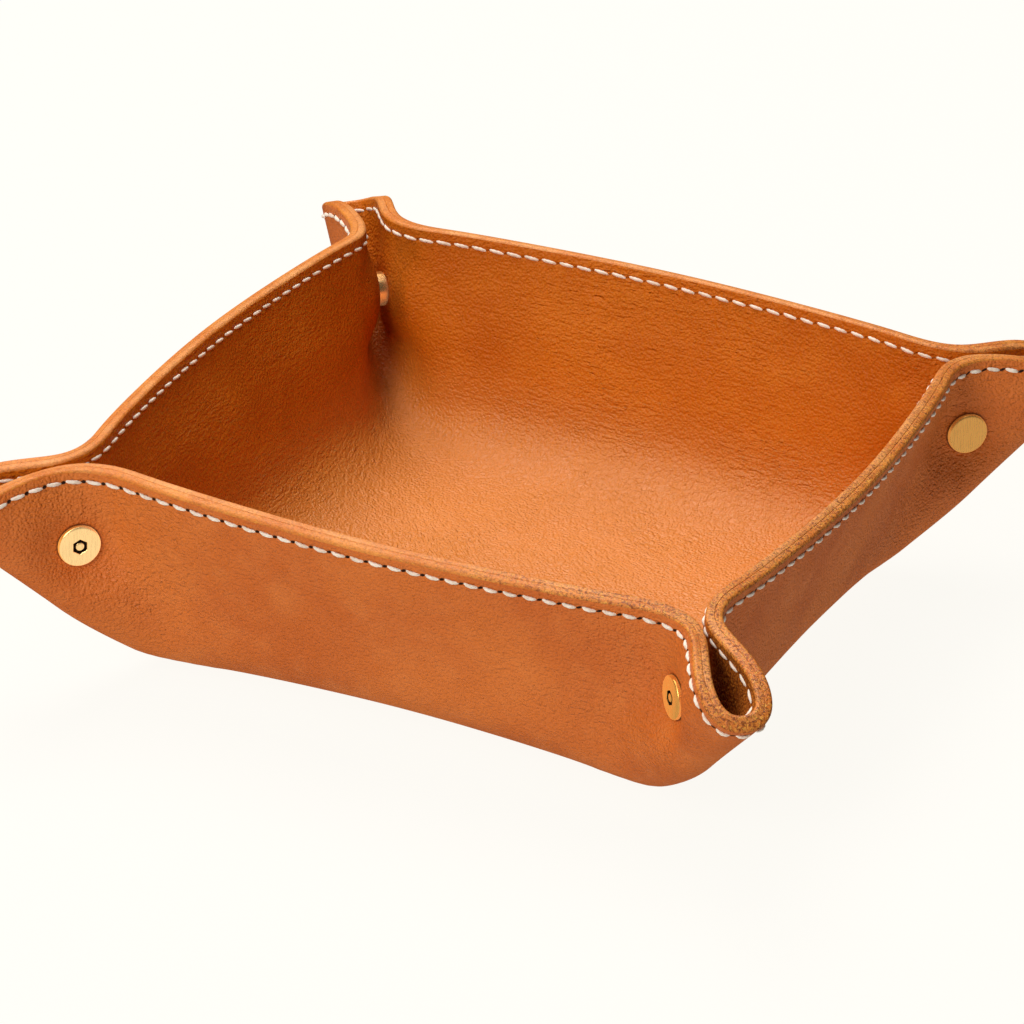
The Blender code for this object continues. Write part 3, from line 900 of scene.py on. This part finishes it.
def leather(name, base, deep, pale, wrinkle, outer):
    """Grained leather of the outer panel or, if not outer, of the lining."""
    n = Nodes(name)
    inner = 0.0 if outer else 1.0
    position = n.add("ShaderNodeTexCoord").outputs["Object"]
    colour, patch = tanned(n, position, base, deep, pale)
    bent = bend(n, position)
    from_pin = pin_distance(n, position)
    patches = n.ramp(n.noise(position, 26.0, 2.0), 0.38, 0.62, 0.45, 1.0)
    folded = n.ramp(from_pin, 0.050, 0.012, 0.30, 1.0) if outer else patches
    folds = n.math("MULTIPLY", creases(n, bent), n.math("MULTIPLY", folded, patches))
    colour, deep_fold, floor_sheen = inner_faces(n, position, colour, inner)
    hole, channel = seam_marks(n, 0.45 if outer else -0.45, 1.0 if outer else 0.6)
    colour = n.mix(n.math("MULTIPLY", channel, 0.16), colour, deep)
    if outer:
        # Painted shadow: a dark ring on the leather just round each screw head.
        shade = n.ramp(from_pin, HEAD_RADIUS + 0.0007, HEAD_RADIUS - 0.0001, 0.0, 0.85)
        colour = n.mix(shade, colour, linear(70, 24, 6))
    # Awl holes painted near black on the outer face and darker on the lining, as painted shade inside the
    # holes.
    dark = linear(22, 7, 2) if outer else linear(112, 46, 8)
    colour = n.mix(n.math("MULTIPLY", hole, 0.98 if outer else 0.6), colour, dark)
    rough = n.math("ADD", n.ramp(patch, 0.25, 0.75, 0.42, 0.54), n.math("MULTIPLY", deep_fold, 0.35))
    shine = n.math("ADD", 0.30 if outer else 0.14, n.math("MULTIPLY", floor_sheen, 0.38))
    n.feed(n.shader.inputs["Base Color"], colour)
    n.feed(n.shader.inputs["Roughness"], rough)
    n.feed(n.shader.inputs["Specular IOR Level"], shine)
    n.feed(n.shader.inputs["Normal"], relief(n, bent, folds, wrinkle, outer, hole, channel))
    return n.material


def cut_edge(name, base, deep, pale):
    """Burnished cut edge: matted fibres with dark and golden specks, roughest towards the right."""
    n = Nodes(name)
    position = n.add("ShaderNodeTexCoord").outputs["Object"]
    split = n.add("ShaderNodeSeparateXYZ", {0: position})
    across = n.math("SUBTRACT", split.outputs[0], n.math("MULTIPLY", split.outputs[1], 0.25))
    raw = n.ramp(across, 0.02, 0.10, 0.35, 1.0)
    cloud = n.noise(position, 70.0, 3.0, 0.6)
    fibre = n.noise(position, 1400.0, 3.0, 0.7, 0.4)
    speck = n.noise(position, 2300.0, 3.0, 0.75)
    gold = n.noise(position, 1500.0, 2.0, 0.7, 0.5)
    patch = n.ramp(n.noise(position, 60.0, 2.0), 0.35, 0.62, 0.45, 1.0)
    colour = n.mix(n.ramp(cloud, 0.3, 0.7), base, pale)
    colour = n.mix(n.math("MULTIPLY", n.ramp(fibre, 0.44, 0.66), raw), colour, deep)
    colour = n.mix(n.math("MULTIPLY", n.ramp(gold, 0.54, 0.66), raw), colour, linear(224, 158, 62))
    dots = n.math("MULTIPLY", n.ramp(speck, 0.50, 0.66), n.math("MULTIPLY", patch, raw))
    colour = n.mix(dots, colour, linear(104, 52, 12))
    n.feed(n.shader.inputs["Base Color"], colour)
    n.shader.inputs["Roughness"].default_value = 0.46
    n.shader.inputs["Specular IOR Level"].default_value = 0.38
    normal = n.bump(fibre, 0.00022, 1.0)
    normal = n.bump(speck, 0.00014, 0.9, normal)
    n.feed(n.shader.inputs["Normal"], normal)
    return n.material


def waxed_thread():
    """Off-white linen thread with a little light passing through it."""
    n = Nodes("waxed_thread")
    position = n.add("ShaderNodeTexCoord").outputs["Object"]
    tint = n.noise(position, 500.0, 2.0, 0.6)
    fibre = n.noise(position, 5200.0, 2.0, 0.6)
    colour = n.mix(n.ramp(tint, 0.35, 0.75), linear(238, 224, 208), linear(216, 192, 170))
    n.feed(n.shader.inputs["Base Color"], colour)
    n.shader.inputs["Roughness"].default_value = 0.62
    n.shader.inputs["Subsurface Weight"].default_value = 0.15
    n.shader.inputs["Subsurface Radius"].default_value = (0.0006, 0.0004, 0.0003)
    n.shader.inputs["Subsurface Scale"].default_value = 1.0
    n.feed(n.shader.inputs["Normal"], n.bump(fibre, 0.00004, 0.7))
    return n.material


def satin_brass(name, shine):
    """Fine brushed brass whose own light stands in for the bright paper it would mirror.

    The paper is hidden from glossy rays, so the reflected direction sets that light: brightest when
    it points down, weaker towards the right of the tray.
    """
    n = Nodes(name)
    coords = n.add("ShaderNodeTexCoord")
    position = coords.outputs["Object"]
    turned_about = {"Vector": position, "Rotation": (0.3, 0.2, 0.7), "Scale": (1.0, 1.0, 0.05)}
    stretch = n.add("ShaderNodeMapping", turned_about)
    lines = n.noise(stretch.outputs[0], 5200.0, 2.0, 0.6)
    mirror = n.add("ShaderNodeSeparateXYZ", {0: coords.outputs["Reflection"]})
    along = n.add("ShaderNodeSeparateXYZ", {0: position}).outputs[0]
    room = n.ramp(along, 0.08, -0.06, 0.62, 1.0)
    lit = n.ramp(along, 0.08, -0.06, 0.12, 1.0)
    # Painted reflection: the gold is paler where the reflected direction points right, and stays deep on
    # the tray's right, which is painted as less lit.
    aside = n.math("MULTIPLY", n.ramp(mirror.outputs[0], -0.60, 0.20), lit)
    colour = n.mix(aside, DEEP_GOLD, PALE_GOLD)
    paper = n.ramp(mirror.outputs[2], 0.40, -0.25, 0.30, 1.0)
    glow = n.math("MULTIPLY", n.math("MULTIPLY", paper, room), n.ramp(lines, 0.30, 0.70, 0.86, 1.04))
    n.feed(n.shader.inputs["Base Color"], colour)
    n.shader.inputs["Metallic"].default_value = 0.9
    n.feed(n.shader.inputs["Emission Color"], colour)
    n.feed(n.shader.inputs["Emission Strength"], n.math("MULTIPLY", glow, shine))
    n.feed(n.shader.inputs["Roughness"], n.ramp(lines, 0.3, 0.7, 0.22, 0.34))
    n.feed(n.shader.inputs["Normal"], n.bump(lines, 0.00001, 0.5))
    return n.material


def dark_brass():
    """Brass painted dark down in the socket, as painted shade in the recess."""
    n = Nodes("dark_brass")
    position = n.add("ShaderNodeTexCoord").outputs["Object"]
    cloud = n.noise(position, 900.0, 3.0, 0.6)
    colour = n.mix(n.ramp(cloud, 0.3, 0.7), linear(70, 40, 12), linear(38, 20, 6))
    n.feed(n.shader.inputs["Base Color"], colour)
    n.shader.inputs["Metallic"].default_value = 0.6
    n.shader.inputs["Roughness"].default_value = 0.55
    return n.material


# ---------------------------------------------------------------- stage


def make_floor():
    """Pale paper, mostly its own light, so hardly any shadow shows."""
    n = Nodes("studio_paper")
    n.shader.inputs["Base Color"].default_value = (0.93, 0.92, 0.89, 1.0)
    n.shader.inputs["Roughness"].default_value = 0.9
    n.shader.inputs["Specular IOR Level"].default_value = 0.1
    glow = n.add("ShaderNodeEmission", {"Color": (1.0, 0.982, 0.930, 1.0), "Strength": 1.0})
    output = n.tree.nodes["Material Output"]
    blend = n.add("ShaderNodeMixShader", {0: PAPER_GLOW, 1: n.shader.outputs[0], 2: glow.outputs[0]})
    n.tree.links.new(blend.outputs[0], output.inputs["Surface"])
    corners = ((-1, -1), (1, -1), (1, 1), (-1, 1))
    points = np.array([(x * PAPER_HALF, y * PAPER_HALF, -PAPER_DROP) for x, y in corners])
    floor = new_mesh("studio_floor", points, [(0, 1, 2, 3)], [n.material])
    floor.visible_glossy = False


def area_light(name, place, size, power):
    """A round soft light turned to the middle of the tray."""
    data = bpy.data.lights.new(name, "AREA")
    data.shape = "DISK"
    data.size = size
    data.energy = power
    data.color = LIGHT_COLOUR
    lamp = bpy.data.objects.new(name, data)
    bpy.context.scene.collection.objects.link(lamp)
    lamp.location = place
    lamp.rotation_euler = (Vector(LIGHT_TARGET) - Vector(place)).to_track_quat("-Z", "Y").to_euler()


def make_light():
    """A dim room and the studio's soft lights."""
    world = bpy.data.worlds.new("studio")
    world.use_nodes = True
    background = world.node_tree.nodes["Background"]
    background.inputs["Color"].default_value = (1.0, 0.985, 0.955, 1.0)
    background.inputs["Strength"].default_value = ROOM_LIGHT
    bpy.context.scene.world = world
    for name, place, size, power in LIGHTS:
        area_light(name, place, size, power)


def make_camera():
    """Long lens from the front right and above, rolled slightly."""
    angles = (CAMERA_AZIMUTH, CAMERA_ELEVATION, CAMERA_ROLL)
    azimuth, elevation, roll = (math.radians(angle) for angle in angles)
    level = Vector((math.cos(azimuth), math.sin(azimuth), 0.0))
    flat = math.cos(elevation)
    back = Vector((math.sin(azimuth) * flat, -math.cos(azimuth) * flat, math.sin(elevation)))
    over = back.cross(level)
    right = level * math.cos(roll) + over * math.sin(roll)
    up = over * math.cos(roll) - level * math.sin(roll)
    data = bpy.data.cameras.new("camera")
    data.sensor_width = 36.0
    data.lens = LENS
    data.clip_end = 30.0
    camera = bpy.data.objects.new("camera", data)
    bpy.context.scene.collection.objects.link(camera)
    aim = right * CAMERA_RIGHT + up * CAMERA_UP + Vector((0.0, 0.0, SKIN))
    place = back * CAMERA_DISTANCE + aim
    camera.matrix_world = Matrix.Translation(place) @ Matrix((right, up, back)).transposed().to_4x4()
    bpy.context.scene.camera = camera


def make_leather(net):
    """Both panels, stitched together round the rim."""
    tan = leather(
        "outer_leather", (0.66, 0.162, 0.021, 1.0), (0.56, 0.118, 0.013, 1.0),
        (0.70, 0.198, 0.034, 1.0), 0.00070, True,
    )
    lining = leather(
        "lining_leather", (0.60, 0.150, 0.006, 1.0), (0.50, 0.108, 0.003, 1.0),
        (0.64, 0.178, 0.010, 1.0), 0.00078, False,
    )
    outer_edge = cut_edge("outer_edge", linear(206, 110, 28), linear(124, 54, 10), linear(224, 138, 54))
    lining_edge = cut_edge("lining_edge", linear(212, 118, 38), linear(124, 56, 12), linear(230, 152, 82))
    thread = waxed_thread()
    for name, side, materials in (
        ("outer_leather", 1, [tan, outer_edge]),
        ("lining_leather", -1, [lining, lining_edge]),
    ):
        panel = make_panel(name + "_panel", net, side, materials)
        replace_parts(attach(panel, "tray"), name)
    for name, side, node in (
        ("needle_stitches", 1, "needle_thread"),
        ("bobbin_stitches", -1, "bobbin_thread"),
    ):
        stitches = make_stitches(name, net, side, thread)
        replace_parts(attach(stitches, "tray"), node)


def make_brass():
    """A screw, a barrel and a collar at each corner; the collar stays with the tray."""
    brass = [satin_brass("satin_brass", 0.92), dark_brass()]
    # The collar's copy glows much less: painted shade between the two walls.
    shaded = [satin_brass("shaded_brass", 0.12)]
    for corner in CORNERS:
        name = corner[0]
        for kind, maker, metals, body in (
            ("screw", make_screw, brass, name + "_screw"),
            ("barrel", make_barrel, brass, name + "_barrel"),
            ("collar", make_collar, shaded, "tray"),
        ):
            piece = maker(name + "_brass_" + kind, pin_place(corner), metals)
            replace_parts(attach(piece, body), name + "_" + kind)


def main():
    """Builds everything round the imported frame."""
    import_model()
    make_leather(control_net())
    make_brass()
    make_floor()
    make_light()
    make_camera()
    bpy.context.scene.view_settings.view_transform = "Standard"


main()
